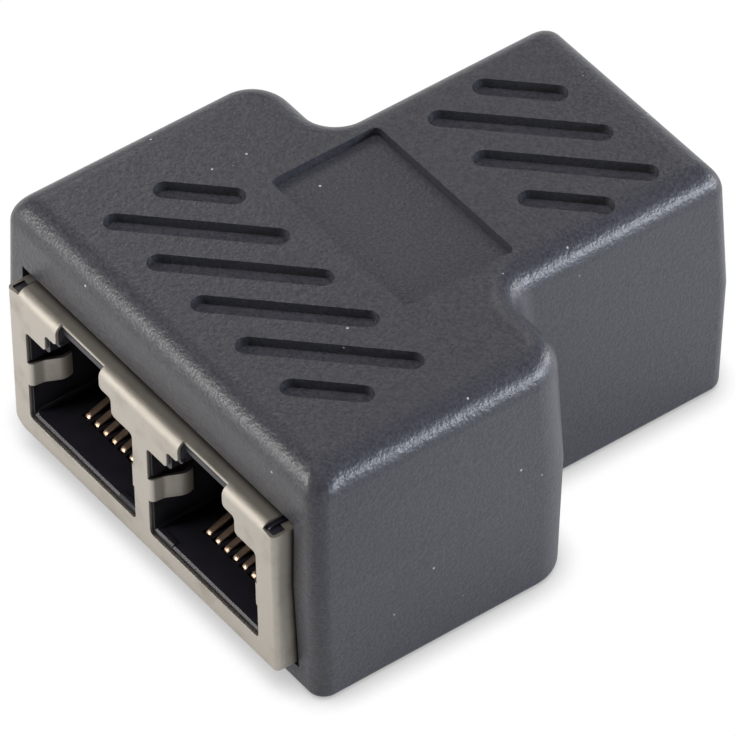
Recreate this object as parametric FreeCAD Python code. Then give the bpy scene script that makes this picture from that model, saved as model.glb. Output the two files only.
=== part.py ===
import FreeCAD, Part
import math
import os

# Ethernet splitter adapter: a T-shaped housing moulded over three shielded jacks.
# Two jacks stand side by side in the wide end, one jack stands in the neck, and
# a circuit board under them joins their contacts.
# Millimetres, +Z up. The pair of jacks faces -Y and the single jack faces +Y.
# The pieces are drawn with the housing's middle at Y = 0, and moved along Y at the
# end, so that the origin is the middle of the whole adapter's footprint.

# Housing, with its plan sizes taken at the parting line
HOUSING_LENGTH = 40.7
HOUSING_HEIGHT = 20.3
WIDE_END_WIDTH = 35.8
NECK_WIDTH = 20.5
SHOULDER_Y = 1.7
PARTING_HEIGHT = 9.7
DRAFT_ANGLE = 1.8
CORNER_RADIUS = 1.3
SHOULDER_OUTER_RADIUS = 3.4
SHOULDER_INNER_RADIUS = 2.2
TOP_EDGE_RADIUS = 2.3
BOTTOM_EDGE_RADIUS = 0.6
FLOOR_THICKNESS = 1.2
MOUTH_GAP = 0.3
MOUTH_DEPTH = 0.6

# Diagonal grip grooves, in one hatched field on the wide end and one on the neck
GROOVE_WIDTH = 1.66
GROOVE_DEPTH = 0.8
GROOVE_PITCH = 4.98
HATCH_WIDTH = 9.4
HATCH_SHIFT = 0.65
WIDE_HATCH_MARGIN = 3.85
WIDE_HATCH_LENGTH = 25.4
WIDE_GROOVE_COUNT = 6
NECK_HATCH_MARGIN = 4.2
NECK_HATCH_LENGTH = 15.8
NECK_GROOVE_COUNT = 4

# Shallow panel between the two fields
RECESS_LENGTH = 15.4
RECESS_WIDTH = 9.0
RECESS_DEPTH = 0.7
RECESS_Y = -0.7
RECESS_CORNER_RADIUS = 0.5

# Jacks: what the pair and the single one share, from the front of the shield
JACK_DEPTH = 16.6
DUAL_JACK_PROUD = 1.35
SINGLE_JACK_PROUD = 0.5
PORT_PITCH = 13.97
SHEET = 0.25
HOOD_BEND_RADIUS = 0.65
SIDE_BEND_RADIUS = 0.25
SHIELD_HEIGHT = 12.8
DUAL_SHIELD_WIDTH = 30.25
SINGLE_SHIELD_WIDTH = 16.3
RELIEF_WIDTH = 1.22
RELIEF_LENGTH = 1.95
RELIEF_DROP = 0.4
SIDE_TAB_WIDTH = 0.85
SIDE_TAB_SETBACK = 1.25
RELIEF_FLOOR_DROP = 0.12
PLATE_CORNER_RADIUS = 1.5
FOLD_GAP = 0.12
LEG_WIDTH = 1.4
LEG_SETBACKS = (4.6, 12.0)

# Stepped port opening in the shield, with the latch notch on top
OPENING_WIDTH = 12.32
OPENING_SILL = 1.64
OPENING_HEIGHT = 7.94
STEP_WIDTH = 7.65
STEP_HEIGHT = 1.49
LATCH_WIDTH = 5.0
LATCH_NOTCH_DEPTH = 0.58
OPENING_CORNER_RADIUS = 0.35

# Ground springs, folded in from both sides of each opening
SPRING_SILL = 4.72
SPRING_HEIGHT = 2.0
SPRING_LENGTH = 3.0
SPRING_KNEE_REACH = 0.35
SPRING_KNEE_SETBACK = 1.05
SPRING_CREST_REACH = 1.05
SPRING_CREST_SETBACK = 2.45
SPRING_BEND_RADIUS = 1.0
SPRING_ROOM = 0.25

# Insulator
CAVITY_INSET = 0.235
CAVITY_DEPTH = 12.2
FLOOR_RISE = 0.36
SILL_PAD_WIDTH = 2.0
SILL_PAD_LENGTH = 0.5
SILL_PAD_HEIGHT = 0.08
SILL_CHAMFER = 0.14
LATCH_LEDGE = 0.6

# Contact springs and the block behind them
CONTACT_COUNT = 8
CONTACT_PITCH = 1.016
CONTACT_WIDTH = 0.55
CONTACT_THICKNESS = 0.3
CONTACT_RISE_ANGLE = 20.0
CONTACT_BEND_RADIUS = 0.5
CONTACT_BEND_SETBACK = 3.4
CONTACT_RUN_HEIGHT = 1.0
TAIL_BEND_RADIUS = 0.35
TAIL_ROW_SETBACK = 13.2
TAIL_ROW_GAP = 2.54
COMB_REACH = 0.6
COMB_ROOM = 0.45
BLOCK_MARGIN = 0.7
BLOCK_HEIGHT = 9.0

# Circuit board
BOARD_THICKNESS = 1.0
BOARD_OVERHANG = 1.0
BOARD_SETBACK = 2.5
BOARD_CORNER_RADIUS = 0.8

# Clearances
FIT = 0.05
SLOT_CLEARANCE = 0.08

# Worked out from the sizes above
JACK_BASE = FLOOR_THICKNESS + BOARD_THICKNESS
DUAL_FRONT = -HOUSING_LENGTH / 2 - DUAL_JACK_PROUD
SINGLE_FRONT = HOUSING_LENGTH / 2 + SINGLE_JACK_PROUD
TO_MIDDLE = -(DUAL_FRONT + SINGLE_FRONT) / 2
CONTACT_SPAN = (CONTACT_COUNT - 1) * CONTACT_PITCH + CONTACT_WIDTH
BLOCK_WIDTH = CONTACT_SPAN + 2 * BLOCK_MARGIN
CAVITY_FLOOR = OPENING_SILL + FLOOR_RISE
OPENING_TOP = OPENING_SILL + OPENING_HEIGHT
STEP_TOP = OPENING_TOP + STEP_HEIGHT
CUT = 1.0
TOUCH = 1e-4

DUAL_PORTS = (-PORT_PITCH / 2, PORT_PITCH / 2)
SINGLE_PORT = (0.0,)

AXES = {
    "XY": FreeCAD.Vector(0, 0, 1),
    "XZ": FreeCAD.Vector(0, 1, 0),
    "YZ": FreeCAD.Vector(1, 0, 0),
}


def point_on(plane, u, v, level):
    """The 3-D point with coordinates u, v on a plane that lies at the given level."""
    if plane == "XY":
        return FreeCAD.Vector(u, v, level)
    if plane == "XZ":
        return FreeCAD.Vector(u, level, v)
    return FreeCAD.Vector(level, u, v)


def unit(start, end):
    """Unit direction in the plane from one point to another."""
    du = end[0] - start[0]
    dv = end[1] - start[1]
    length = math.hypot(du, dv)
    return du / length, dv / length


def corner_arc(before, corner, after):
    """Start, middle and end of the arc that rounds a corner given as (u, v, radius)."""
    back = unit(corner, before)
    ahead = unit(corner, after)
    half_angle = math.acos(max(-1.0, min(1.0, back[0] * ahead[0] + back[1] * ahead[1]))) / 2
    radius = corner[2]
    reach = radius / math.tan(half_angle)
    start = (corner[0] + back[0] * reach, corner[1] + back[1] * reach)
    end = (corner[0] + ahead[0] * reach, corner[1] + ahead[1] * reach)
    middle_direction = unit((0, 0), (back[0] + ahead[0], back[1] + ahead[1]))
    middle_reach = radius / math.sin(half_angle) - radius
    middle = (
        corner[0] + middle_direction[0] * middle_reach,
        corner[1] + middle_direction[1] * middle_reach,
    )
    return start, middle, end


def rounded_wire(corners, plane, level):
    """Closed wire through (u, v, radius) corners, with an arc wherever the radius isn't zero."""
    pieces = []
    count = len(corners)
    for index, corner in enumerate(corners):
        if corner[2] > 0:
            pieces.append(corner_arc(corners[index - 1], corner, corners[(index + 1) % count]))
        else:
            pieces.append((corner[:2],))
    edges = []
    for index, piece in enumerate(pieces):
        if len(piece) == 3:
            ends = [point_on(plane, p[0], p[1], level) for p in piece]
            edges.append(Part.Arc(*ends).toShape())
        start = point_on(plane, *piece[-1], level)
        end = point_on(plane, *pieces[(index + 1) % count][0], level)
        if start.distanceToPoint(end) > 1e-6:
            edges.append(Part.makeLine(start, end))
    return Part.Wire(edges)


def prism(corners, plane, level, length):
    """Solid made by pushing a rounded outline along the axis that its plane faces."""
    face = Part.Face(rounded_wire(corners, plane, level))
    return face.extrude(AXES[plane] * length)


def rectangle(u_low, u_high, v_low, v_high, radius=0.0):
    """Corners of a rectangle with equal corner radii."""
    return [
        (u_low, v_low, radius),
        (u_high, v_low, radius),
        (u_high, v_high, radius),
        (u_low, v_high, radius),
    ]


def box(x_low, x_high, y_low, y_high, z_low, z_high):
    """Block between two corners."""
    corner = FreeCAD.Vector(x_low, y_low, z_low)
    return Part.makeBox(x_high - x_low, y_high - y_low, z_high - z_low, corner)


def side_of_strip(path, offset):
    """One edge of a folded strip: the path moved sideways, to its left for a positive offset."""
    side = []
    for index, point in enumerate(path):
        into = unit(path[index - 1], point) if index > 0 else None
        out = unit(point, path[index + 1]) if index < len(path) - 1 else None
        into = into or out
        out = out or into
        normal = unit((0, 0), (-into[1] - out[1], into[0] + out[0]))
        stretch = offset / (-into[1] * normal[0] + into[0] * normal[1])
        turn = into[0] * out[1] - into[1] * out[0]
        radius = 0.0
        if point[2] > 0:
            radius = point[2] - math.copysign(offset, turn * offset)
        side.append((point[0] + normal[0] * stretch, point[1] + normal[1] * stretch, radius))
    return side


def folded_strip(path, thickness):
    """Outline of a sheet strip folded along a centre line of (u, v, bend radius) points."""
    left = side_of_strip(path, thickness / 2)
    right = side_of_strip(path, -thickness / 2)
    return left + right[::-1]


def fused(shapes):
    """One solid from shapes that overlap or touch."""
    first, *others = shapes
    return first.fuse(others).removeSplitter() if others else first


def port_stairs(inset, floor, latch_top):
    """Outline of a plug port: wide body, narrower step, latch notch, drawn in from the opening."""
    body = OPENING_WIDTH / 2 - inset
    step = STEP_WIDTH / 2 - inset
    latch = LATCH_WIDTH / 2 - inset
    body_top = OPENING_TOP - inset
    step_top = STEP_TOP - inset
    radius = OPENING_CORNER_RADIUS
    right = [
        (body, floor, radius),
        (body, body_top, radius),
        (step, body_top, radius),
        (step, step_top, radius),
        (latch, step_top, radius),
        (latch, latch_top, 0.0),
    ]
    left = [(-u, v, r) for u, v, r in reversed(right)]
    return right + left


def moved(corners, shift):
    """The same corners, moved along the first coordinate."""
    return [(u + shift, v, r) for u, v, r in corners]


def mirrored_pair(shape):
    """A shape and its mirror image across the plane X = 0."""
    return [shape, shape.mirror(FreeCAD.Vector(), FreeCAD.Vector(1, 0, 0))]


def ground_spring(side):
    """Spring strip folded in from an opening's edge, for a port at X = 0; side is -1 or 1."""
    edge = OPENING_WIDTH / 2
    plate = SHEET / 2
    crest = edge - SPRING_CREST_REACH
    path = [
        (edge + SHEET, plate, 0.0),
        (edge - SHEET, plate, SHEET),
        (edge - SPRING_KNEE_REACH, SPRING_KNEE_SETBACK, SPRING_BEND_RADIUS),
        (crest, SPRING_CREST_SETBACK, SPRING_BEND_RADIUS),
        (crest + SHEET, SPRING_LENGTH, 0.0),
    ]
    strip = folded_strip([(side * u, v, r) for u, v, r in path], SHEET)
    return prism(strip, "XY", SPRING_SILL, SPRING_HEIGHT)


def shield(width, ports):
    """Sheet shield of a jack that faces -Y: front plate, sides, top and back, all one folding."""
    half = width / 2
    plate = SHEET / 2
    bend = HOOD_BEND_RADIUS
    side_bend = SIDE_BEND_RADIUS
    top = SHIELD_HEIGHT - plate
    back = JACK_DEPTH - plate
    fold_half = half - SHEET - FOLD_GAP
    wrap = folded_strip(
        [
            (-half + plate, JACK_DEPTH, 0.0),
            (-half + plate, plate, side_bend),
            (half - plate, plate, side_bend),
            (half - plate, JACK_DEPTH, 0.0),
        ],
        SHEET,
    )
    hood = folded_strip(
        [
            (plate, OPENING_SILL, 0.0),
            (plate, top, bend),
            (back, top, bend),
            (back, 0.0, 0.0),
        ],
        SHEET,
    )
    hood_half = half - RELIEF_WIDTH
    side_top = SHIELD_HEIGHT - RELIEF_DROP
    tab_inner = half - SIDE_TAB_WIDTH
    tab = box(tab_inner, half - plate, SIDE_TAB_SETBACK, RELIEF_LENGTH, side_top - SHEET, side_top)
    shoulders = [
        box(-fold_half, fold_half, RELIEF_LENGTH, back - bend, top - plate, top + plate),
        box(-fold_half, fold_half, back - plate, back + plate, 0.0, top - bend - plate),
    ]
    body = fused(
        [prism(wrap, "XY", 0.0, side_top), prism(hood, "YZ", -hood_half, 2 * hood_half)]
        + mirrored_pair(tab)
        + shoulders
    )
    radius = PLATE_CORNER_RADIUS
    corner = box(-half - CUT, radius - half, -CUT, side_bend + plate, -CUT, radius)
    rounding = Part.makeCylinder(
        radius, 2 * CUT + side_bend, FreeCAD.Vector(radius - half, -CUT, radius), AXES["XZ"]
    )
    cuts = [corner.cut(rounding)]
    springs = []
    for centre in ports:
        opening = moved(port_stairs(0.0, OPENING_SILL, SHIELD_HEIGHT + CUT), centre)
        cuts.append(prism(opening, "XZ", -CUT, CUT + LATCH_NOTCH_DEPTH))
        for side in (-1, 1):
            spring = ground_spring(side)
            spring.translate(FreeCAD.Vector(centre, 0, 0))
            springs.append(spring)
    legs = []
    for setback in LEG_SETBACKS:
        start = setback - LEG_WIDTH / 2
        leg = box(half - SHEET, half, start, start + LEG_WIDTH, -BOARD_THICKNESS, SHEET)
        legs += mirrored_pair(leg)
    return fused([body.cut(cuts)] + springs + legs)


def contact_offsets():
    """X of each contact from its port's middle."""
    first = -(CONTACT_COUNT - 1) * CONTACT_PITCH / 2
    return [first + index * CONTACT_PITCH for index in range(CONTACT_COUNT)]


def tail_setback(index):
    """Y of a contact's tail: every second one stands in the back row."""
    return TAIL_ROW_SETBACK + (index % 2) * TAIL_ROW_GAP


def contact_free_height(setback):
    """Height of a contact's centre line on its slope, over a point behind the shield's front."""
    slope = math.tan(math.radians(CONTACT_RISE_ANGLE))
    return CONTACT_RUN_HEIGHT + (setback - contact_corner()) * slope


def contact_corner():
    """Where the run along the floor and the slope would cross if their bend were sharp."""
    turn = math.radians(180.0 - CONTACT_RISE_ANGLE)
    return CONTACT_BEND_SETBACK - CONTACT_BEND_RADIUS * math.tan(turn / 2)


def contact(index):
    """Contact spring: tail in the board, run along the floor, front bend, slope to the comb."""
    tail = tail_setback(index)
    end = CAVITY_DEPTH + COMB_REACH
    path = [
        (tail, -BOARD_THICKNESS, 0.0),
        (tail, CONTACT_RUN_HEIGHT, TAIL_BEND_RADIUS),
        (contact_corner(), CONTACT_RUN_HEIGHT, CONTACT_BEND_RADIUS),
        (end, contact_free_height(end), 0.0),
    ]
    strip = folded_strip(path, CONTACT_THICKNESS)
    return prism(strip, "YZ", contact_offsets()[index] - CONTACT_WIDTH / 2, CONTACT_WIDTH)


def floor_slots():
    """Channels in the cavity floor that the contacts lie in and rise from, for a port at X = 0."""
    half = CONTACT_WIDTH / 2 + SLOT_CLEARANCE
    front = CONTACT_BEND_SETBACK - CONTACT_BEND_RADIUS - CONTACT_THICKNESS / 2 - SLOT_CLEARANCE
    bottom = CONTACT_RUN_HEIGHT - CONTACT_THICKNESS / 2
    return [
        box(x - half, x + half, front, CAVITY_DEPTH + CUT, bottom, CAVITY_FLOOR + CUT)
        for x in contact_offsets()
    ]


def insulator(width, ports):
    """Black moulding inside the shield, with a stepped cavity for each port."""
    half = width / 2 - SHEET - FIT
    back = JACK_DEPTH - SHEET - FIT
    top = SHIELD_HEIGHT - SHEET - FIT
    side_view = [
        (SHEET, 0.0, 0.0),
        (back, 0.0, 0.0),
        (back, top, HOOD_BEND_RADIUS),
        (SHEET, top, HOOD_BEND_RADIUS),
    ]
    plan = [
        (-half, SHEET, SIDE_BEND_RADIUS),
        (half, SHEET, SIDE_BEND_RADIUS),
        (half, back, 0.0),
        (-half, back, 0.0),
    ]
    body = prism(side_view, "YZ", -half, 2 * half).common(prism(plan, "XY", 0.0, top))
    side_top = SHIELD_HEIGHT - RELIEF_DROP
    tab_inner = width / 2 - SIDE_TAB_WIDTH - FIT
    tab_floor = side_top - SHEET - FIT
    tab_room = box(tab_inner, width / 2, 0.0, RELIEF_LENGTH + FIT, tab_floor, SHIELD_HEIGHT)
    relief_inner = width / 2 - RELIEF_WIDTH + FIT
    relief_front = SHEET + FIT
    relief_back = SIDE_TAB_SETBACK - FIT
    relief_top = side_top - RELIEF_FLOOR_DROP
    relief_floor = box(relief_inner, half, relief_front, relief_back, OPENING_TOP, relief_top)
    latch_top = SHIELD_HEIGHT - SHEET - LATCH_LEDGE
    cavity_half = OPENING_WIDTH / 2 - CAVITY_INSET
    pad_top = CAVITY_FLOOR + SILL_PAD_HEIGHT
    pad = [
        (SHEET, 0.0, 0.0),
        (SHEET + SILL_PAD_LENGTH, 0.0, 0.0),
        (SHEET + SILL_PAD_LENGTH, pad_top, 0.0),
        (SHEET + SILL_CHAMFER, pad_top, 0.0),
        (SHEET, pad_top - SILL_CHAMFER, 0.0),
    ]
    spring_low = SPRING_SILL - SPRING_ROOM
    spring_high = SPRING_SILL + SPRING_HEIGHT + SPRING_ROOM
    pocket_half = OPENING_WIDTH / 2 + SPRING_ROOM
    pocket_end = SPRING_LENGTH + SPRING_ROOM
    block_half = BLOCK_WIDTH / 2 + FIT
    block_front = CAVITY_DEPTH - FIT
    block_top = BLOCK_HEIGHT + FIT
    sill = [
        (SHEET - CUT, CAVITY_FLOOR - SILL_CHAMFER - CUT, 0.0),
        (SHEET + SILL_CHAMFER + CUT, CAVITY_FLOOR + CUT, 0.0),
        (SHEET - CUT, CAVITY_FLOOR + CUT, 0.0),
    ]
    latch_half = LATCH_WIDTH / 2
    cuts = mirrored_pair(tab_room)
    pads = mirrored_pair(relief_floor)
    for centre in ports:
        cavity = port_stairs(CAVITY_INSET, CAVITY_FLOOR, latch_top)
        rooms = [
            prism(cavity, "XZ", -CUT, CUT + CAVITY_DEPTH),
            box(-pocket_half, pocket_half, 0.0, pocket_end, spring_low, spring_high),
            box(-block_half, block_half, block_front, JACK_DEPTH, -CUT, block_top),
            box(-latch_half, latch_half, 0.0, LATCH_NOTCH_DEPTH, STEP_TOP, SHIELD_HEIGHT),
            prism(sill, "YZ", -cavity_half, 2 * cavity_half),
        ]
        for room in rooms + floor_slots():
            room.translate(FreeCAD.Vector(centre, 0, 0))
            cuts.append(room)
        if centre:
            inward = -math.copysign(1, centre)
            pad_middle = centre + inward * (cavity_half - SILL_PAD_WIDTH / 2)
            pads.append(prism(pad, "YZ", pad_middle - SILL_PAD_WIDTH / 2, SILL_PAD_WIDTH))
    return fused([body.cut(cuts)] + pads)


def contact_block():
    """Block that closes the back of a port and holds its contacts apart, for a port at X = 0."""
    back = JACK_DEPTH - SHEET - FIT
    body = box(-BLOCK_WIDTH / 2, BLOCK_WIDTH / 2, CAVITY_DEPTH, back, 0.0, BLOCK_HEIGHT)
    half = CONTACT_WIDTH / 2 + SLOT_CLEARANCE
    thick = CONTACT_THICKNESS / 2 + SLOT_CLEARANCE
    comb_end = CAVITY_DEPTH + COMB_REACH + SLOT_CLEARANCE
    low = contact_free_height(CAVITY_DEPTH) - CONTACT_THICKNESS - COMB_ROOM
    high = contact_free_height(comb_end) + CONTACT_THICKNESS + COMB_ROOM
    cuts = []
    for index, x in enumerate(contact_offsets()):
        end = tail_setback(index) + thick
        cuts.append(box(x - half, x + half, 0.0, end, -CUT, CONTACT_RUN_HEIGHT + thick))
        cuts.append(box(x - half, x + half, 0.0, comb_end, low, high))
    return body.cut(cuts)


def board_cuts(width, ports):
    """Holes that the contact tails and the shield's legs go through."""
    half = CONTACT_WIDTH / 2 + FIT
    thick = CONTACT_THICKNESS / 2 + FIT
    low = -BOARD_THICKNESS - CUT
    cuts = []
    for centre in ports:
        for index, x in enumerate(contact_offsets()):
            tail = tail_setback(index)
            middle = centre + x
            cuts.append(box(middle - half, middle + half, tail - thick, tail + thick, low, CUT))
    for setback in LEG_SETBACKS:
        reach = LEG_WIDTH / 2 + SLOT_CLEARANCE
        inner = width / 2 - SHEET - SLOT_CLEARANCE
        slot = box(inner, width / 2 + SLOT_CLEARANCE, setback - reach, setback + reach, low, CUT)
        cuts += mirrored_pair(slot)
    return cuts


def place_dual(shape):
    """Puts a jack's shape at the wide end, facing -Y."""
    placed = shape.copy()
    placed.translate(FreeCAD.Vector(0, DUAL_FRONT, JACK_BASE))
    return placed


def place_single(shape):
    """Turns a jack's shape round and puts it at the neck's end, facing +Y."""
    placed = shape.copy()
    placed.rotate(FreeCAD.Vector(), FreeCAD.Vector(0, 0, 1), 180)
    placed.translate(FreeCAD.Vector(0, SINGLE_FRONT, JACK_BASE))
    return placed


def board_outline():
    """T-shaped outline that reaches a little past the shields' sides."""
    wide = DUAL_SHIELD_WIDTH / 2 + BOARD_OVERHANG
    neck = SINGLE_SHIELD_WIDTH / 2 + BOARD_OVERHANG
    front = DUAL_FRONT + BOARD_SETBACK
    shoulder = DUAL_FRONT + JACK_DEPTH + BOARD_OVERHANG
    back = SINGLE_FRONT - BOARD_SETBACK
    right = [(wide, front), (wide, shoulder), (neck, shoulder), (neck, back)]
    left = [(-x, y) for x, y in reversed(right)]
    return [(x, y, BOARD_CORNER_RADIUS) for x, y in right + left]


def circuit_board():
    """Board under the jacks, with a hole for every tail and leg."""
    body = prism(board_outline(), "XY", FLOOR_THICKNESS, BOARD_THICKNESS)
    cuts = [place_dual(cut) for cut in board_cuts(DUAL_SHIELD_WIDTH, DUAL_PORTS)]
    cuts += [place_single(cut) for cut in board_cuts(SINGLE_SHIELD_WIDTH, SINGLE_PORT)]
    return body.cut(cuts)


def housing_corners(inset):
    """Corners of the housing's T-shaped plan as (x, y, radius), drawn in by the draft."""
    wide = WIDE_END_WIDTH / 2 - inset
    neck = NECK_WIDTH / 2 - inset
    end = HOUSING_LENGTH / 2 - inset
    shoulder = SHOULDER_Y - inset
    right = [
        (wide, -end, CORNER_RADIUS),
        (wide, shoulder, SHOULDER_OUTER_RADIUS),
        (neck, shoulder, SHOULDER_INNER_RADIUS),
        (neck, end, CORNER_RADIUS),
    ]
    left = [(-x, y, radius) for x, y, radius in reversed(right)]
    return right + left


def rounded_together(shape, rounding):
    """Shape with edges rounded in one go; rounding holds (edge number from 1, radius) pairs."""
    document = FreeCAD.newDocument()
    base = document.addObject("Part::Feature", "base")
    base.Shape = shape
    fillet = document.addObject("Part::Fillet", "fillet")
    fillet.Base = base
    fillet.Edges = [(number, radius, radius) for number, radius in rounding]
    document.recompute()
    result = fillet.Shape.copy()
    FreeCAD.closeDocument(document.Name)
    return result


def flat_sided_block(bottom, top):
    """Solid with flat sides between a lower and an upper ring of points, both anticlockwise."""
    rings = [bottom[::-1], top]
    for index in range(len(bottom)):
        rings.append([bottom[index - 1], bottom[index], top[index], top[index - 1]])
    faces = [Part.Face(Part.makePolygon(ring + ring[:1])) for ring in rings]
    return Part.Solid(Part.Shell(faces))


def housing_half(level, rim_radius):
    """Drafted half of the housing from the parting line to a flat face, with rounded edges."""
    inset = abs(level - PARTING_HEIGHT) * math.tan(math.radians(DRAFT_ANGLE))
    corners = housing_corners(0.0)
    middle = [FreeCAD.Vector(x, y, PARTING_HEIGHT) for x, y, radius in corners]
    outer = [FreeCAD.Vector(x, y, level) for x, y, radius in housing_corners(inset)]
    rings = (middle, outer) if level > PARTING_HEIGHT else (outer, middle)
    half = flat_sided_block(*rings)
    rounding = []
    for number, edge in enumerate(half.Edges, 1):
        ends = [vertex.Point for vertex in edge.Vertexes]
        if all(abs(p.z - level) < TOUCH for p in ends):
            rounding.append((number, rim_radius))
        for start, corner in zip(middle, corners):
            nearest = min(p.distanceToPoint(start) for p in ends)
            if abs(ends[0].z - ends[1].z) > TOUCH and nearest < TOUCH:
                rounding.append((number, corner[2]))
    return rounded_together(half, rounding)


def grooves(y_centre, length, count):
    """Round-ended diagonal slots, kept inside a hatched field of the given length along X."""
    radius = GROOVE_WIDTH / 2
    x_reach = length / 2 - radius
    y_reach = HATCH_WIDTH / 2 - radius
    floor = HOUSING_HEIGHT - GROOVE_DEPTH
    slots = []
    for index in range(count):
        shift = (index - (count - 1) / 2) * GROOVE_PITCH
        start = max(-y_reach, -x_reach - shift)
        end = min(y_reach, x_reach - shift)
        length_along = (end - start) * math.sqrt(2)
        outline = rectangle(-radius, length_along + radius, -radius, radius, radius * 0.999)
        slot = prism(outline, "XY", floor, GROOVE_DEPTH + CUT)
        slot.rotate(FreeCAD.Vector(), FreeCAD.Vector(0, 0, 1), 45)
        slot.translate(FreeCAD.Vector(HATCH_SHIFT + shift + start, y_centre + start, 0))
        slots.append(slot)
    return slots


def shield_room(width, proud):
    """Space that a jack takes up in the housing, with the slightly wider mouth around it."""
    half = width / 2
    wide = half + MOUTH_GAP
    mouth = box(-wide, wide, -CUT, proud + MOUTH_DEPTH, -MOUTH_GAP, SHIELD_HEIGHT + MOUTH_GAP)
    return box(-half, half, -CUT, JACK_DEPTH, 0.0, SHIELD_HEIGHT).fuse(mouth)


def housing():
    """Moulded body: two drafted halves in one, its grooves and panel, the room for the insides."""
    body = fused(
        [housing_half(HOUSING_HEIGHT, TOP_EDGE_RADIUS), housing_half(0.0, BOTTOM_EDGE_RADIUS)]
    )
    wide_hatch_y = -HOUSING_LENGTH / 2 + WIDE_HATCH_MARGIN + HATCH_WIDTH / 2
    neck_hatch_y = HOUSING_LENGTH / 2 - NECK_HATCH_MARGIN - HATCH_WIDTH / 2
    panel = rectangle(
        -RECESS_LENGTH / 2,
        RECESS_LENGTH / 2,
        RECESS_Y - RECESS_WIDTH / 2,
        RECESS_Y + RECESS_WIDTH / 2,
        RECESS_CORNER_RADIUS,
    )
    cuts = grooves(wide_hatch_y, WIDE_HATCH_LENGTH, WIDE_GROOVE_COUNT)
    cuts += grooves(neck_hatch_y, NECK_HATCH_LENGTH, NECK_GROOVE_COUNT)
    cuts.append(prism(panel, "XY", HOUSING_HEIGHT - RECESS_DEPTH, RECESS_DEPTH + CUT))
    cuts.append(place_dual(shield_room(DUAL_SHIELD_WIDTH, DUAL_JACK_PROUD)))
    cuts.append(place_single(shield_room(SINGLE_SHIELD_WIDTH, SINGLE_JACK_PROUD)))
    cuts.append(prism(board_outline(), "XY", FLOOR_THICKNESS, BOARD_THICKNESS))
    return body.cut(cuts)


def port_pieces(letter, centre, place):
    """The contact block and the contacts of one port, by node name."""
    pieces = {f"port_{letter}_contact_block": contact_block()}
    for index in range(CONTACT_COUNT):
        pieces[f"port_{letter}_contact_{index + 1}"] = contact(index)
    for shape in pieces.values():
        shape.translate(FreeCAD.Vector(centre, 0, 0))
    return {name: place(shape) for name, shape in pieces.items()}


def nodes():
    """Every piece of the adapter, by node name."""
    pieces = {
        "housing": housing(),
        "circuit_board": circuit_board(),
        "dual_jack_shield": place_dual(shield(DUAL_SHIELD_WIDTH, DUAL_PORTS)),
        "dual_jack_insulator": place_dual(insulator(DUAL_SHIELD_WIDTH, DUAL_PORTS)),
        "single_jack_shield": place_single(shield(SINGLE_SHIELD_WIDTH, SINGLE_PORT)),
        "single_jack_insulator": place_single(insulator(SINGLE_SHIELD_WIDTH, SINGLE_PORT)),
    }
    pieces.update(port_pieces("a", DUAL_PORTS[0], place_dual))
    pieces.update(port_pieces("b", DUAL_PORTS[1], place_dual))
    pieces.update(port_pieces("c", SINGLE_PORT[0], place_single))
    return pieces


os.makedirs("parts", exist_ok=True)
for name, shape in nodes().items():
    shape.translate(FreeCAD.Vector(0, TO_MIDDLE, 0))
    shape.exportStep(f"parts/{name}.step")
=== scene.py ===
import logging
import math
from collections.abc import Callable
from dataclasses import dataclass, field
from enum import Enum

import bmesh
import bpy
from mathutils import Matrix, Quaternion, Vector, noise


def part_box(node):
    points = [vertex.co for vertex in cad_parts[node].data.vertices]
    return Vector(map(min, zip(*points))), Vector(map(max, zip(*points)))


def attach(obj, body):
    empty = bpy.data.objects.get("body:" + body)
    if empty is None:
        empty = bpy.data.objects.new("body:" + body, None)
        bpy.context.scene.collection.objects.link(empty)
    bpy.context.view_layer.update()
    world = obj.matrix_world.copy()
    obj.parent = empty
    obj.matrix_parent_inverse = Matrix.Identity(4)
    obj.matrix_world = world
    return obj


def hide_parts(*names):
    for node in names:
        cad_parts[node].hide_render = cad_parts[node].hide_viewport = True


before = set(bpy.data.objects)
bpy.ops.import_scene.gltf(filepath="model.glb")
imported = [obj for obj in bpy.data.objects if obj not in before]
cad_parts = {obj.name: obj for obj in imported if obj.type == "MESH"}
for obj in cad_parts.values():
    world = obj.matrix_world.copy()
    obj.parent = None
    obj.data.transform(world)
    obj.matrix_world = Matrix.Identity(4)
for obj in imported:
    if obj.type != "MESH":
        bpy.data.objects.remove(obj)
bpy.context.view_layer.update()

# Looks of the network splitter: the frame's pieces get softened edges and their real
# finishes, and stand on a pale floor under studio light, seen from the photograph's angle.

LOG = logging.getLogger("splitter")
MM = 0.001
BODY = "root"
MERGE_DISTANCE = 0.0005 * MM
FLAT_ANGLE = math.radians(0.6)
SHARP_ANGLE = math.radians(32.0)
ACROSS = Vector((1.0, 0.0, 0.0))
UP = Vector((0.0, 0.0, 1.0))

# Sockets of a mixing node: its share, its two ends as numbers or as colours, and its colour
SHARE = 0
NUMBER_A, NUMBER_B = 2, 3
COLOUR_A, COLOUR_B = 6, 7
MIXED_COLOUR = 2

# Rays that feel out how open a spot is
OPENNESS_SAMPLES = 8
# Length of one band of a wave pattern at scale 1
BAND_LENGTH = math.tau / 20

Span = tuple[float, float]
Point = tuple[float, float, float]
Colour = tuple[float, float, float, float]
EdgeTest = Callable[[bmesh.types.BMEdge], bool]


class Slot(Enum):
    """Names of four material slots; no piece in this script takes its finish from them."""

    HOUSING = "housing_plastic"
    SHIELD = "shield_metal"
    INSULATOR = "insulator_plastic"
    CONTACT = "contact_metal"


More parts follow.
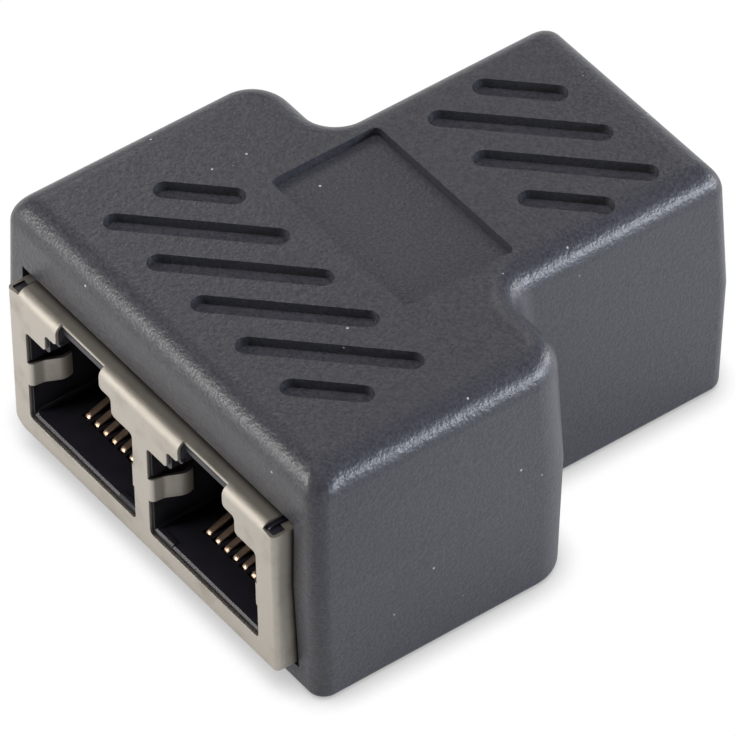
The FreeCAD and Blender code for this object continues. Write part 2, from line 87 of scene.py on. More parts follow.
class Jack(Enum):
    """The two jacks: first word of their nodes, letters of their ports, sign of Y in front."""

    DUAL = ("dual", "ab", -1.0)
    SINGLE = ("single", "c", 1.0)

    @property
    def word(self) -> str:
        """First word of the jack's node names."""
        return self.value[0]

    @property
    def ports(self) -> str:
        """Letters of the jack's ports."""
        return self.value[1]

    @property
    def facing(self) -> float:
        """Sign of the Y direction that the jack's front plate faces."""
        return self.value[2]


def linear(hex_colour: str) -> Colour:
    """Turns an sRGB hex colour into the linear values that shaders take.

    Args:
        hex_colour: six hex digits after a hash sign.

    Returns:
        Linear red, green and blue, and an alpha of 1.
    """
    values = [int(hex_colour[start:start + 2], 16) / 255 for start in (1, 3, 5)]
    red, green, blue = [
        v / 12.92 if v <= 0.04045 else ((v + 0.055) / 1.055) ** 2.4 for v in values
    ]
    return red, green, blue, 1.0


def per_metre(size_mm: float) -> float:
    """Texture scale that gives a pattern with features of the given size in millimetres."""
    return 1.0 / (size_mm * MM)


def add_node(
    tree: bpy.types.NodeTree,
    kind: str,
    inputs: dict[str | int, object] | None = None,
    **settings: object,
) -> bpy.types.Node:
    """Adds a shader node with its settings, input values and links.

    Args:
        tree: the node tree that it goes into.
        kind: the name of the node's type.
        inputs: input name or number to a value, or to the output socket that feeds it.
        settings: the node's own properties.

    Returns:
        The new node.
    """
    node = tree.nodes.new(kind)
    for key, value in settings.items():
        setattr(node, key, value)
    for key, value in (inputs or {}).items():
        if isinstance(value, bpy.types.NodeSocket):
            tree.links.new(value, node.inputs[key])
        else:
            node.inputs[key].default_value = value
    return node


def blank_material(name: str) -> bpy.types.Material:
    """Makes a new node material with an empty tree.

    Args:
        name: the material's name.

    Returns:
        The new material.
    """
    material = bpy.data.materials.new(name)
    material.use_nodes = True
    material.node_tree.nodes.clear()
    return material


@dataclass(frozen=True)
class GrainedPlastic:
    """ABS moulded in a spark-eroded tool: a fine even grain that breaks highlights into sparkle."""

    name: str = "spark_grained_abs"
    colour: str = "#2d2d31"
    fleck_colour: str = "#3d3d42"
    fleck_span: Span = (0.30, 0.70)
    roughness: float = 0.36
    gloss_spread: float = 0.05
    ior: float = 1.5
    # The real grain is about 0.05 mm, drawn coarser so that it shows in the picture
    grain_mm: float = 0.20
    grain_depth_mm: float = 0.034
    # Slow unevenness of the tool's surface under the grain
    swell_mm: float = 0.42
    swell_depth_mm: float = 0.030
    detail: float = 1.0
    bump_strength: float = 0.8
    # Stray dust specks, solid out to a share of their radius and soft beyond it
    dust_colour: str = "#a9a9a6"
    dust_spacing_mm: float = 2.6
    dust_radius_mm: float = 0.11
    dust_core: float = 0.6
    dust_cover: float = 0.9

    def material(self) -> bpy.types.Material:
        """Builds the finish.

        Returns:
            The new material.
        """
        material = blank_material(self.name)
        tree = material.node_tree
        place = add_node(tree, "ShaderNodeTexCoord").outputs["Object"]
        grain, swell = [
            add_node(
                tree,
                "ShaderNodeTexNoise",
                {"Vector": place, "Scale": per_metre(size_mm), "Detail": self.detail},
            ).outputs["Fac"]
            for size_mm in (self.grain_mm, self.swell_mm)
        ]
        flecks = add_node(
            tree,
            "ShaderNodeMapRange",
            {"Value": grain, "From Min": self.fleck_span[0], "From Max": self.fleck_span[1]},
        ).outputs[0]
        flecked = add_node(
            tree,
            "ShaderNodeMix",
            {SHARE: flecks, COLOUR_A: linear(self.colour), COLOUR_B: linear(self.fleck_colour)},
            data_type="RGBA",
        ).outputs[MIXED_COLOUR]
        dust = add_node(
            tree,
            "ShaderNodeTexVoronoi",
            {"Vector": place, "Scale": per_metre(self.dust_spacing_mm)},
        ).outputs["Distance"]
        rim = self.dust_radius_mm / self.dust_spacing_mm
        speck = add_node(
            tree,
            "ShaderNodeMapRange",
            {
                "Value": dust,
                "From Min": rim,
                "From Max": self.dust_core * rim,
                "To Min": 0.0,
                "To Max": self.dust_cover,
            },
        ).outputs[0]
        dusted = add_node(
            tree,
            "ShaderNodeMix",
            {SHARE: speck, COLOUR_A: flecked, COLOUR_B: linear(self.dust_colour)},
            data_type="RGBA",
        ).outputs[MIXED_COLOUR]
        gloss = add_node(
            tree,
            "ShaderNodeMapRange",
            {
                "Value": swell,
                "To Min": self.roughness - self.gloss_spread,
                "To Max": self.roughness + self.gloss_spread,
            },
        ).outputs[0]
        soft = add_node(
            tree,
            "ShaderNodeBump",
            {
                "Height": swell,
                "Strength": self.bump_strength,
                "Distance": self.swell_depth_mm * MM,
            },
        ).outputs["Normal"]
        rough = add_node(
            tree,
            "ShaderNodeBump",
            {
                "Height": grain,
                "Normal": soft,
                "Strength": self.bump_strength,
                "Distance": self.grain_depth_mm * MM,
            },
        ).outputs["Normal"]
        shader = add_node(
            tree,
            "ShaderNodeBsdfPrincipled",
            {"Base Color": dusted, "Roughness": gloss, "Normal": rough, "IOR": self.ior},
        ).outputs[0]
        add_node(tree, "ShaderNodeOutputMaterial", {"Surface": shader})
        return material


@dataclass(frozen=True)
class PlatedSheet:
    """Nickel-plated steel strip: warm grey, with faint rolling lines and stains, and painted shade
    that darkens its folds.
    """

    name: str = "nickel_plated_strip"
    colour: str = "#cbc5bc"
    roughness: float = 0.64
    gloss_spread: float = 0.07
    # Real rolling lines lie a few hundredths of a millimetre apart, drawn coarser to show
    roll_line_mm: float = 0.12
    roll_line_length_mm: float = 5.0
    line_detail: float = 3.0
    line_depth_mm: float = 0.004
    bump_strength: float = 0.4
    stain_colour: str = "#b4aca2"
    stain_mm: float = 3.0
    stain_detail: float = 4.0
    stain_raggedness: float = 0.6
    stain_span: Span = (0.5, 0.78)
    # Painted shade: the colour darkens where the sheet is closed in on itself or on the moulding
    fold_shade_colour: str = "#332d26"
    fold_shade_reach_mm: float = 0.60
    fold_shade_span: Span = (0.35, 0.90)
    fold_shade_cover: float = 0.85

    def material(self) -> bpy.types.Material:
        """Builds the finish.

        Returns:
            The new material.
        """
        material = blank_material(self.name)
        tree = material.node_tree
        place = add_node(tree, "ShaderNodeTexCoord").outputs["Object"]
        along = self.roll_line_mm / self.roll_line_length_mm
        stretched = add_node(
            tree, "ShaderNodeMapping", {"Vector": place, "Scale": (along, 1.0, 1.0)}
        ).outputs[0]
        lines = add_node(
            tree,
            "ShaderNodeTexNoise",
            {
                "Vector": stretched,
                "Scale": per_metre(self.roll_line_mm),
                "Detail": self.line_detail,
            },
        ).outputs["Fac"]
        stains = add_node(
            tree,
            "ShaderNodeTexNoise",
            {
                "Vector": place,
                "Scale": per_metre(self.stain_mm),
                "Detail": self.stain_detail,
                "Roughness": self.stain_raggedness,
            },
        ).outputs["Fac"]
        stained = add_node(
            tree,
            "ShaderNodeMapRange",
            {"Value": stains, "From Min": self.stain_span[0], "From Max": self.stain_span[1]},
        ).outputs[0]
        colour = add_node(
            tree,
            "ShaderNodeMix",
            {SHARE: stained, COLOUR_A: linear(self.colour), COLOUR_B: linear(self.stain_colour)},
            data_type="RGBA",
        ).outputs[MIXED_COLOUR]
        # Painted shade: the less open a spot is, the further its colour goes toward the dark shade
        # colour
        openness = add_node(
            tree,
            "ShaderNodeAmbientOcclusion",
            {"Distance": self.fold_shade_reach_mm * MM},
            samples=OPENNESS_SAMPLES,
        ).outputs["AO"]
        fold_shade = add_node(
            tree,
            "ShaderNodeMapRange",
            {
                "Value": openness,
                "From Min": self.fold_shade_span[0],
                "From Max": self.fold_shade_span[1],
                "To Min": self.fold_shade_cover,
                "To Max": 0.0,
            },
        ).outputs[0]
        fold_shaded = add_node(
            tree,
            "ShaderNodeMix",
            {SHARE: fold_shade, COLOUR_A: colour, COLOUR_B: linear(self.fold_shade_colour)},
            data_type="RGBA",
        ).outputs[MIXED_COLOUR]
        gloss = add_node(
            tree,
            "ShaderNodeMapRange",
            {
                "Value": lines,
                "To Min": self.roughness - self.gloss_spread,
                "To Max": self.roughness + self.gloss_spread,
            },
        ).outputs[0]
        bump = add_node(
            tree,
            "ShaderNodeBump",
            {
                "Height": lines,
                "Strength": self.bump_strength,
                "Distance": self.line_depth_mm * MM,
            },
        ).outputs["Normal"]
        shader = add_node(
            tree,
            "ShaderNodeBsdfPrincipled",
            {"Base Color": fold_shaded, "Metallic": 1.0, "Roughness": gloss, "Normal": bump},
        ).outputs[0]
        add_node(tree, "ShaderNodeOutputMaterial", {"Surface": shader})
        return material


@dataclass(frozen=True)
class MouldedResin:
    """PBT moulded against a polished tool: deep black with a soft, slightly uneven gloss."""

    name: str = "black_pbt"
    colour: str = "#18161d"
    bloom_colour: str = "#232128"
    gloss_span: Span = (0.36, 0.50)
    ior: float = 1.55
    bloom_mm: float = 1.4
    bloom_detail: float = 3.0
    ripple_mm: float = 0.25
    ripple_detail: float = 2.0
    ripple_depth_mm: float = 0.002
    bump_strength: float = 0.5

    def material(self) -> bpy.types.Material:
        """Builds the finish.

        Returns:
            The new material.
        """
        material = blank_material(self.name)
        tree = material.node_tree
        place = add_node(tree, "ShaderNodeTexCoord").outputs["Object"]
        bloom = add_node(
            tree,
            "ShaderNodeTexNoise",
            {"Vector": place, "Scale": per_metre(self.bloom_mm), "Detail": self.bloom_detail},
        ).outputs["Fac"]
        ripple = add_node(
            tree,
            "ShaderNodeTexNoise",
            {"Vector": place, "Scale": per_metre(self.ripple_mm), "Detail": self.ripple_detail},
        ).outputs["Fac"]
        colour = add_node(
            tree,
            "ShaderNodeMix",
            {SHARE: bloom, COLOUR_A: linear(self.colour), COLOUR_B: linear(self.bloom_colour)},
            data_type="RGBA",
        ).outputs[MIXED_COLOUR]
        gloss = add_node(
            tree,
            "ShaderNodeMapRange",
            {"Value": bloom, "To Min": self.gloss_span[0], "To Max": self.gloss_span[1]},
        ).outputs[0]
        bump = add_node(
            tree,
            "ShaderNodeBump",
            {
                "Height": ripple,
                "Strength": self.bump_strength,
                "Distance": self.ripple_depth_mm * MM,
            },
        ).outputs["Normal"]
        shader = add_node(
            tree,
            "ShaderNodeBsdfPrincipled",
            {"Base Color": colour, "Roughness": gloss, "Normal": bump, "IOR": self.ior},
        ).outputs[0]
        add_node(tree, "ShaderNodeOutputMaterial", {"Surface": shader})
        return material


@dataclass(frozen=True)
class GoldFlash:
    """Phosphor bronze wire with a thin gold flash: bright at the wipe, browner where it wears."""

    name: str = "gold_flashed_bronze"
    colour: str = "#d6bda6"
    worn_colour: str = "#a98a74"
    gloss_span: Span = (0.30, 0.44)
    wear_mm: float = 0.9
    wear_detail: float = 3.0

    def material(self) -> bpy.types.Material:
        """Builds the finish.

        Returns:
            The new material.
        """
        material = blank_material(self.name)
        tree = material.node_tree
        place = add_node(tree, "ShaderNodeTexCoord").outputs["Object"]
        wear = add_node(
            tree,
            "ShaderNodeTexNoise",
            {"Vector": place, "Scale": per_metre(self.wear_mm), "Detail": self.wear_detail},
        ).outputs["Fac"]
        colour = add_node(
            tree,
            "ShaderNodeMix",
            {SHARE: wear, COLOUR_A: linear(self.colour), COLOUR_B: linear(self.worn_colour)},
            data_type="RGBA",
        ).outputs[MIXED_COLOUR]
        gloss = add_node(
            tree,
            "ShaderNodeMapRange",
            {"Value": wear, "To Min": self.gloss_span[0], "To Max": self.gloss_span[1]},
        ).outputs[0]
        shader = add_node(
            tree,
            "ShaderNodeBsdfPrincipled",
            {"Base Color": colour, "Metallic": 1.0, "Roughness": gloss},
        ).outputs[0]
        add_node(tree, "ShaderNodeOutputMaterial", {"Surface": shader})
        return material


@dataclass(frozen=True)
class MaskedLaminate:
    """Glass-epoxy board under green solder mask: glossy, with the cloth's weave just showing."""

    name: str = "masked_laminate"
    colour: str = "#1d4a2b"
    weave_colour: str = "#235734"
    roughness: float = 0.33
    ior: float = 1.5
    # The cloth's real threads lie about 0.45 mm apart, drawn coarser so that they show
    weave_mm: float = 2.8274
    weave_wander: float = 0.4
    weave_depth_mm: float = 0.008
    bump_strength: float = 0.5

    def material(self) -> bpy.types.Material:
        """Builds the finish.

        Returns:
            The new material.
        """
        material = blank_material(self.name)
        tree = material.node_tree
        place = add_node(tree, "ShaderNodeTexCoord").outputs["Object"]
        warp, weft = [
            add_node(
                tree,
                "ShaderNodeTexWave",
                {
                    "Vector": place,
                    "Scale": per_metre(self.weave_mm) * BAND_LENGTH,
                    "Distortion": self.weave_wander,
                },
                bands_direction=direction,
            ).outputs["Fac"]
            for direction in ("X", "Y")
        ]
        weave = add_node(
            tree, "ShaderNodeMath", {0: warp, 1: weft}, operation="MULTIPLY"
        ).outputs[0]
        colour = add_node(
            tree,
            "ShaderNodeMix",
            {SHARE: weave, COLOUR_A: linear(self.colour), COLOUR_B: linear(self.weave_colour)},
            data_type="RGBA",
        ).outputs[MIXED_COLOUR]
        bump = add_node(
            tree,
            "ShaderNodeBump",
            {
                "Height": weave,
                "Strength": self.bump_strength,
                "Distance": self.weave_depth_mm * MM,
            },
        ).outputs["Normal"]
        shader = add_node(
            tree,
            "ShaderNodeBsdfPrincipled",
            {"Base Color": colour, "Roughness": self.roughness, "Normal": bump, "IOR": self.ior},
        ).outputs[0]
        add_node(tree, "ShaderNodeOutputMaterial", {"Surface": shader})
        return material


@dataclass
class FinishSet:
    """The finishes, made once and shared by the pieces of a slot."""

    housing: bpy.types.Material = field(default_factory=lambda: GrainedPlastic().material())
    shield: bpy.types.Material = field(default_factory=lambda: PlatedSheet().material())
    insulator: bpy.types.Material = field(default_factory=lambda: MouldedResin().material())
    contact: bpy.types.Material = field(default_factory=lambda: GoldFlash().material())
    board: bpy.types.Material = field(default_factory=lambda: MaskedLaminate().material())


def merged_copy(node: str) -> bmesh.types.BMesh:
    """Copies a frame node's mesh with its loose triangles joined and its flat areas made whole.

    Args:
        node: the node's name.

    Returns:
        A new bmesh.
    """
    mesh = bmesh.new()
    mesh.from_mesh(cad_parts[node].data)
    bmesh.ops.remove_doubles(mesh, verts=mesh.verts, dist=MERGE_DISTANCE)
    bmesh.ops.dissolve_limit(
        mesh,
        angle_limit=FLAT_ANGLE,
        verts=mesh.verts,
        edges=mesh.edges,
        use_dissolve_boundaries=False,
    )
    return mesh


def is_sharp(edge: bmesh.types.BMEdge) -> bool:
    """Whether two faces meet at an edge with a clear crease."""
    return len(edge.link_faces) == 2 and edge.calc_face_angle(0.0) > SHARP_ANGLE


def bevel_edges(
    mesh: bmesh.types.BMesh,
    edges: list[bmesh.types.BMEdge],
    width_mm: float,
    segments: int,
    clamped: bool,
) -> None:
    """Puts a strip of faces in place of each of the given edges.

    Args:
        mesh: the bmesh to work on.
        edges: the edges.
        width_mm: the strip's width on each face.
        segments: how many faces go across the strip.
        clamped: whether strips are narrowed where they would run into each other.
    """
    bmesh.ops.bevel(
        mesh,
        geom=edges,
        offset=width_mm * MM,
        offset_type="OFFSET",
        segments=segments,
        profile=0.5,
        affect="EDGES",
        clamp_overlap=clamped,
        material=-1,
    )


def soften(mesh: bmesh.types.BMesh, test: EdgeTest, width_mm: float, segments: int) -> int:
    """Rounds the creased edges that pass a test.

    Args:
        mesh: the bmesh to work on.
        test: says whether an edge is rounded.
        width_mm: the rounding's width on each face.
        segments: how many strips make the rounding.

    Returns:
        The number of edges that were rounded.
    """
    chosen = [edge for edge in mesh.edges if is_sharp(edge) and test(edge)]
    bevel_edges(mesh, chosen, width_mm, segments, clamped=True)
    return len(chosen)


def cut_at(mesh: bmesh.types.BMesh, direction: Vector, place: float) -> None:
    """Cuts every face that a plane passes through.

    Args:
        mesh: the bmesh to work on.
        direction: the direction that the plane faces.
        place: the plane's distance from the origin in that direction.
    """
    bmesh.ops.bisect_plane(
        mesh,
        geom=[*mesh.verts, *mesh.edges, *mesh.faces],
        dist=MERGE_DISTANCE,
        plane_co=direction * place,
        plane_no=direction,
    )


def cut_across(mesh: bmesh.types.BMesh, step_mm: float, directions: tuple[Vector, ...]) -> None:
    """Cuts long faces into short cells, so that shading along a bend stays even to its ends.

    Args:
        mesh: the bmesh to work on.
        step_mm: the distance between the cuts.
        directions: the directions that the cuts are spaced along.
    """
    for direction in directions:
        places = [vert.co.dot(direction) for vert in mesh.verts]
        low = min(places)
        for index in range(1, int((max(places) - low) / (step_mm * MM)) + 1):
            cut_at(mesh, direction, low + index * step_mm * MM)


def finished_piece(
    mesh: bmesh.types.BMesh, name: str, node: str, material: bpy.types.Material
) -> None:
    """Turns a bmesh into a smooth-shaded piece that stands for a frame node.

    Args:
        mesh: the bmesh, which is used up.
        name: the new piece's name.
        node: the frame node that it stands for.
        material: the finish.
    """
    for face in mesh.faces:
        face.smooth = True
    for edge in mesh.edges:
        edge.smooth = not is_sharp(edge)
    data = bpy.data.meshes.new(name)
    mesh.to_mesh(data)
    mesh.free()
    data.materials.append(material)
    piece = bpy.data.objects.new(name, data)
    bpy.context.scene.collection.objects.link(piece)
    weighted = piece.modifiers.new("weighted_normals", "WEIGHTED_NORMAL")
    weighted.keep_sharp = True
    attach(piece, BODY)
    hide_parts(node)
    LOG.info("%s stands for %s with %d faces", name, node, len(data.polygons))


def dress(node: str, material: bpy.types.Material) -> None:
    """Gives a frame node its finish, with its shape as it is.

    Args:
        node: the node's name.
        material: the finish.
    """
    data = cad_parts[node].data
    data.materials.clear()
    data.materials.append(material)
    LOG.info("%s keeps its shape", node)


@dataclass
class Housing:
    """The moulded body, with worn-soft rims on its grooves and panel and a parting seam."""

    finishes: FinishSet
    rim_mm: float = 0.22
    rim_segments: int = 4
    top_band_mm: float = 0.9
    seam_reach_mm: float = 7.5
    seam_width_mm: float = 0.07
    seam_segments: int = 2
    seam_cuts: int = 47
    # Depth at the corner, of which a mean share is pressed in, give or take an uneven share
    seam_depth_mm: float = 0.09
    seam_mean: float = 0.7
    seam_uneven: float = 0.5

    def press_seam(self, mesh: bmesh.types.BMesh) -> None:
        """Presses the parting seam into the right side, fading out behind the front corner.

        Args:
            mesh: the body's bmesh.
        """
        widest = max(mesh.verts, key=lambda vert: vert.co.x).co.copy()
        front = min(vert.co.y for vert in mesh.verts)
        reach = self.seam_reach_mm * MM

        def on_line(vert: bmesh.types.BMVert) -> bool:
            """Whether a vertex lies on the parting line along the right side."""
            inward, off = widest.x - vert.co.x, abs(vert.co.z - widest.z)
            return off < MERGE_DISTANCE and inward < MERGE_DISTANCE

        side = [edge for edge in mesh.edges if all(on_line(vert) for vert in edge.verts)]
        bmesh.ops.subdivide_edges(mesh, edges=side, cuts=self.seam_cuts)
        line = [
            edge
            for edge in mesh.edges
            if all(on_line(vert) and vert.co.y - front < reach for vert in edge.verts)
        ]
        bevel_edges(mesh, line, self.seam_width_mm, self.seam_segments, clamped=False)
        for vert in mesh.verts:
            along = vert.co.y - front
            if on_line(vert) and along < reach:
                share = self.seam_mean + self.seam_uneven * noise.noise(vert.co / MM)
                vert.co.x -= self.seam_depth_mm * MM * (1.0 - along / reach) * share
        LOG.info("seam pressed along %d edges", len(line))

    def build(self) -> None:
        """Makes the body."""
        mesh = merged_copy("housing")
        self.press_seam(mesh)
        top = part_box("housing")[1].z
        band = top - self.top_band_mm * MM

        def on_top(edge: bmesh.types.BMEdge) -> bool:
            """Whether an edge lies in the top's thin layer with the grooves."""
            return all(vert.co.z > band for vert in edge.verts)

        rounded = soften(mesh, on_top, self.rim_mm, self.rim_segments)
        LOG.info("housing rims rounded on %d edges", rounded)
        finished_piece(mesh, "housing_body", "housing", self.finishes.housing)


@dataclass
class ShieldedJack:
    """One jack: folded shield, insulator, contact blocks and contact springs."""

    jack: Jack
    finishes: FinishSet
    sheet_edge_mm: float = 0.10
    sheet_edge_segments: int = 3
    cell_mm: float = 0.8
    bend_rows_deg: tuple[float, ...] = (0.0, 7.0, 14.0, 21.0)
    bend_end_mm: float = 0.02
    bend_merge_mm: float = 0.005
    # The hood's front edge is looked for this many bend radii behind the front plate
    hood_edge_reach: float = 2.0
    insulator_edge_mm: float = 0.07
    insulator_edge_segments: int = 2
    wire_edge_mm: float = 0.11
    wire_edge_segments: int = 2

    def build(self) -> None:
        """Makes the jack's pieces in order."""
        self.build_shield()
        self.build_insulator()
        for letter in self.jack.ports:
            self.build_contacts(letter)

    def draw_bend(self, mesh: bmesh.types.BMesh) -> None:
        """Draws the front plate's top back into the hood's bend, so the sheet runs on in a curve.

        Args:
            mesh: the shield's bmesh.
        """
        top = max(vert.co.z for vert in mesh.verts)
        front = max(vert.co.y * self.jack.facing for vert in mesh.verts)

        def depth(vert: bmesh.types.BMVert) -> float:
            """How far a vertex lies behind the front plate's face."""
            return front - vert.co.y * self.jack.facing

        crown = [vert for vert in mesh.verts if top - vert.co.z < MERGE_DISTANCE]
        radius = min(depth(vert) for vert in crown)
        hood_edge = [vert for vert in crown if depth(vert) < self.hood_edge_reach * radius]
        half = max(abs(vert.co.x) for vert in hood_edge) - self.bend_end_mm * MM
        for angle in self.bend_rows_deg:
            cut_at(mesh, UP, top - radius * (1.0 - math.sin(math.radians(angle))))
        for side in (half, -half):
            cut_at(mesh, ACROSS, side)
        for vert in mesh.verts:
            above = vert.co.z - (top - radius)
            if above > 0.0 and abs(vert.co.x) < half + MERGE_DISTANCE:
                curve = radius - math.sqrt(max(radius**2 - above**2, 0.0))
                vert.co.y = (front - max(depth(vert), curve)) * self.jack.facing
        bmesh.ops.remove_doubles(mesh, verts=mesh.verts, dist=self.bend_merge_mm * MM)

    def build_shield(self) -> None:
        """Softens the sheet's cut edges, as stamping and plating leave them."""
        node = f"{self.jack.word}_jack_shield"
        mesh = merged_copy(node)
        self.draw_bend(mesh)
        soften(mesh, is_sharp, self.sheet_edge_mm, self.sheet_edge_segments)
        cut_across(mesh, self.cell_mm, (ACROSS, UP))
        finished_piece(mesh, f"{node}_plated", node, self.finishes.shield)

    def build_insulator(self) -> None:
        """Softens the moulding's edges."""
        node = f"{self.jack.word}_jack_insulator"
        mesh = merged_copy(node)
        soften(mesh, is_sharp, self.insulator_edge_mm, self.insulator_edge_segments)
        finished_piece(mesh, f"{node}_moulded", node, self.finishes.insulator)

    def build_contacts(self, letter: str) -> None:
        """Rounds the contact springs of a port into wires, and dresses the block behind them.

        Args:
            letter: the port's letter.
        """
        prefix = f"port_{letter}_contact_"
        dress(f"{prefix}block", self.finishes.insulator)
        for node in sorted(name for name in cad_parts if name.startswith(prefix)):
            if node.endswith("block"):
                continue
            mesh = merged_copy(node)
            soften(mesh, is_sharp, self.wire_edge_mm, self.wire_edge_segments)
            finished_piece(mesh, f"{node}_wire", node, self.finishes.contact)


@dataclass
class Lamp:
    """A softbox or window that faces the object's middle, with its sizes in metres."""

    name: str
    direction: Point
    distance: float
    width: float
    height: float
    watts: float
    colour: str
    in_reflections: bool = True

    def build(self, aim: Vector) -> None:
        """Makes the lamp.

        Args:
            aim: the point that it faces.
        """
        data = bpy.data.lights.new(self.name, "AREA")
        data.shape = "RECTANGLE"
        data.size = self.width
        data.size_y = self.height
        data.energy = self.watts
        data.color = linear(self.colour)[:3]
        lamp = bpy.data.objects.new(self.name, data)
        toward = Vector(self.direction).normalized()
        lamp.location = aim + toward * self.distance
        lamp.rotation_mode = "QUATERNION"
        lamp.rotation_quaternion = (-toward).to_track_quat("-Z", "Y")
        lamp.visible_glossy = self.in_reflections
        bpy.context.scene.collection.objects.link(lamp)
        LOG.info("lamp %s", self.name)


@dataclass
class Studio:
    """Pale floor, bright backdrop, softboxes and windows around the object, and the camera."""

    # The floor lies a hair under the object, so that the two faces don't share a plane
    floor_radius: float = 4.0
    floor_segments: int = 64
    floor_drop_mm: float = 0.02
    floor_colour: str = "#f4f4f4"
    floor_white: float = 0.985
    # Shade around the object's foot: as seen, and the wider one that reflections show
    contact_shade_mm: float = 2.6
    shade_lift: float = 0.45
    shade_span: Span = (0.30, 0.85)
    mirrored_shade_mm: float = 15.0
    mirrored_lift: float = 0.45
    mirrored_span: Span = (0.50, 1.00)
    # In reflections the paper is dimmer beyond a line on the near side, where the room is dark
    near_side: Point = (0.81, -0.58, 0.0)
    near_fade_mm: Span = (25.0, 38.0)
    near_level: float = 0.55
    world_colour: str = "#eef0f4"
    horizon_strength: float = 0.45
    backdrop_white: float = 1.0
    zenith_strength: float = 0.03
    horizon_band: Span = (0.02, 0.36)
    camera_place_mm: Point = (350.36, -253.19, 423.29)
    camera_aim_mm: Point = (0.428, -2.807, 8.0)
    camera_roll_deg: float = -1.3
    lens_mm: float = 434.44
    sensor_mm: float = 36.0
    lamp_aim_mm: Point = (0.0, 0.0, 10.0)
    # Each lamp: name, direction, distance, width, height, watts, colour
    lamps: tuple[Lamp, ...] = (
        Lamp("right_softbox", (0.790, 0.574, 0.216), 0.42, 0.22, 0.08, 1.45, "#eaf3ff"),
        Lamp(
            "right_window", (0.900, 0.420, 0.120), 0.50, 0.30, 0.12, 0.34, "#90c6f4",
            in_reflections=False,
        ),
        Lamp("left_softbox", (-0.395, -0.811, 0.423), 0.42, 0.14, 0.20, 0.96, "#fffdf8"),
        Lamp(
            "left_window", (-0.500, -0.860, 0.100), 0.50, 0.30, 0.12, 1.10, "#fffaf0",
            in_reflections=False,
        ),
        Lamp(
            "top_softbox", (0.0, 0.0, 1.0), 0.50, 0.30, 0.30, 2.45, "#fbfaff",
            in_reflections=False,
        ),
        Lamp("rear_right_softbox", (-0.418, 0.668, 0.616), 0.42, 0.14, 0.08, 0.12, "#fff8f2"),
        Lamp("rear_left_softbox", (-0.761, 0.204, 0.616), 0.30, 0.12, 0.08, 0.09, "#fff8f2"),
        Lamp("far_softbox", (0.306, 0.942, 0.139), 0.42, 0.22, 0.08, 0.75, "#f6f8ff"),
    )

    def build(self) -> None:
        """Makes the stage in order."""
        self.build_floor()
        self.build_world()
        for lamp in self.lamps:
            lamp.build(Vector(self.lamp_aim_mm) * MM)
        self.build_camera()
        bpy.context.scene.view_settings.view_transform = "Standard"

    def bright_to_camera(self, tree: bpy.types.NodeTree) -> bpy.types.NodeSocket:
        """How far a surface shows its own white: to the camera, and in mirrors and glass.

        Args:
            tree: the node tree that the nodes go into.

        Returns:
            The socket with the share.
        """
        path = add_node(tree, "ShaderNodeLightPath")
        seen = add_node(
            tree,
            "ShaderNodeMath",
            {0: path.outputs["Is Camera Ray"], 1: path.outputs["Is Glossy Ray"]},
            operation="MAXIMUM",
        ).outputs[0]
        return add_node(
            tree,
            "ShaderNodeMath",
            {0: seen, 1: path.outputs["Is Transmission Ray"]},
            operation="MAXIMUM",
        ).outputs[0]

    def contact_shade(
        self, tree: bpy.types.NodeTree, reach_mm: float, span: Span, lift: float
    ) -> bpy.types.NodeSocket:
        """The soft shade where the object stands close to the floor.

        Args:
            tree: the node tree that the nodes go into.
            reach_mm: how far the shade reaches out from the object.
            span: the open shares of the sky at which the shade is deepest and gone.
            lift: the level where it is deepest.

        Returns:
            The socket with the level, 1 where there is no shade.
        """
        openness = add_node(
            tree,
            "ShaderNodeAmbientOcclusion",
            {"Distance": reach_mm * MM},
            samples=OPENNESS_SAMPLES,
        ).outputs["AO"]
        return add_node(
            tree,
            "ShaderNodeMapRange",
            {
                "Value": openness,
                "From Min": span[0],
                "From Max": span[1],
                "To Min": lift,
                "To Max": 1.0,
            },
        ).outputs[0]

    def paper(self) -> bpy.types.Material:
        """Makes the floor's pale paper, which shows nearly white and keeps the shadow.

        Returns:
            The new material.
        """
        material = blank_material("pale_paper")
        tree = material.node_tree
        matt = add_node(
            tree, "ShaderNodeBsdfDiffuse", {"Color": linear(self.floor_colour)}
        ).outputs[0]
        seen_shade = self.contact_shade(
            tree, self.contact_shade_mm, self.shade_span, self.shade_lift
        )
        mirrored_shade = self.contact_shade(
            tree, self.mirrored_shade_mm, self.mirrored_span, self.mirrored_lift
        )
        place = add_node(tree, "ShaderNodeTexCoord").outputs["Object"]
        nearness = add_node(
            tree, "ShaderNodeVectorMath", {0: place, 1: self.near_side}, operation="DOT_PRODUCT"
        ).outputs["Value"]
        fade = add_node(
            tree,
            "ShaderNodeMapRange",
            {
                "Value": nearness,
                "From Min": self.near_fade_mm[0] * MM,
                "From Max": self.near_fade_mm[1] * MM,
                "To Min": 1.0,
                "To Max": self.near_level,
            },
        ).outputs[0]
        mirrored = add_node(
            tree, "ShaderNodeMath", {0: mirrored_shade, 1: fade}, operation="MULTIPLY"
        ).outputs[0]
        glossy_ray = add_node(tree, "ShaderNodeLightPath").outputs["Is Glossy Ray"]
        level = add_node(
            tree, "ShaderNodeMix", {SHARE: glossy_ray, NUMBER_A: seen_shade, NUMBER_B: mirrored}
        ).outputs[0]
        white = add_node(tree, "ShaderNodeEmission", {"Color": level, "Strength": 1.0}).outputs[0]
        share = add_node(
            tree,
            "ShaderNodeMath",
            {0: self.bright_to_camera(tree), 1: self.floor_white},
            operation="MULTIPLY",
        ).outputs[0]
        mixed = add_node(tree, "ShaderNodeMixShader", {0: share, 1: matt, 2: white}).outputs[0]
        add_node(tree, "ShaderNodeOutputMaterial", {"Surface": mixed})
        return material

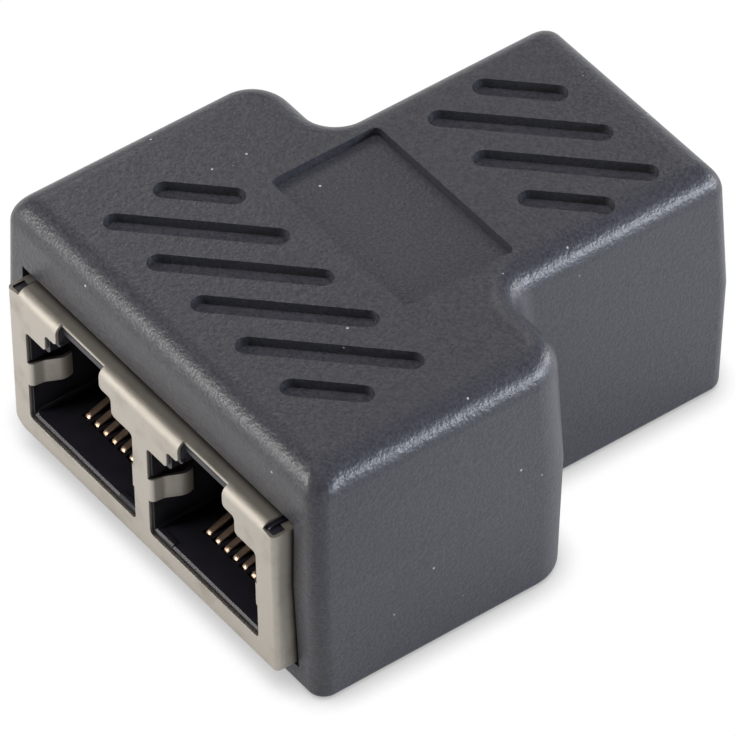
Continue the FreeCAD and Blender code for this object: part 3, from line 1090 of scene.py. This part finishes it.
    def build_floor(self) -> None:
        """Makes a wide floor."""
        mesh = bmesh.new()
        bmesh.ops.create_circle(
            mesh,
            cap_ends=True,
            segments=self.floor_segments,
            radius=self.floor_radius,
            matrix=Matrix.Translation(-UP * self.floor_drop_mm * MM),
        )
        data = bpy.data.meshes.new("floor")
        mesh.to_mesh(data)
        mesh.free()
        floor = bpy.data.objects.new("floor", data)
        bpy.context.scene.collection.objects.link(floor)
        data.materials.append(self.paper())
        LOG.info("floor")

    def build_world(self) -> None:
        """Makes a surround that is dim overhead, with a white backdrop at the horizon."""
        world = bpy.data.worlds.new("studio")
        world.use_nodes = True
        tree = world.node_tree
        tree.nodes.clear()
        facing = add_node(tree, "ShaderNodeTexCoord").outputs["Generated"]
        height = add_node(tree, "ShaderNodeSeparateXYZ", {"Vector": facing}).outputs["Z"]
        horizon = add_node(
            tree,
            "ShaderNodeMapRange",
            {
                "Value": self.bright_to_camera(tree),
                "To Min": self.horizon_strength,
                "To Max": self.backdrop_white,
            },
        ).outputs[0]
        strength = add_node(
            tree,
            "ShaderNodeMapRange",
            {
                "Value": height,
                "From Min": self.horizon_band[0],
                "From Max": self.horizon_band[1],
                "To Min": horizon,
                "To Max": self.zenith_strength,
            },
        ).outputs[0]
        surround = add_node(
            tree,
            "ShaderNodeBackground",
            {"Color": linear(self.world_colour), "Strength": strength},
        ).outputs[0]
        add_node(tree, "ShaderNodeOutputWorld", {"Surface": surround})
        bpy.context.scene.world = world
        LOG.info("world")

    def build_camera(self) -> None:
        """Puts the camera where the photograph was taken from."""
        data = bpy.data.cameras.new("camera")
        data.lens = self.lens_mm
        data.sensor_width = self.sensor_mm
        camera = bpy.data.objects.new("camera", data)
        place = Vector(self.camera_place_mm) * MM
        aim = Vector(self.camera_aim_mm) * MM
        level = (aim - place).to_track_quat("-Z", "Y")
        roll = Quaternion((0.0, 0.0, 1.0), math.radians(self.camera_roll_deg))
        camera.location = place
        camera.rotation_mode = "QUATERNION"
        camera.rotation_quaternion = level @ roll
        bpy.context.scene.collection.objects.link(camera)
        bpy.context.scene.camera = camera
        LOG.info("camera")


def main() -> None:
    """Builds the finishes, the pieces and the studio in order."""
    logging.basicConfig(level=logging.INFO, format="%(message)s")
    finishes = FinishSet()
    Housing(finishes).build()
    for jack in Jack:
        ShieldedJack(jack, finishes).build()
    dress("circuit_board", finishes.board)
    Studio().build()


if __name__ == "__main__":
    main()
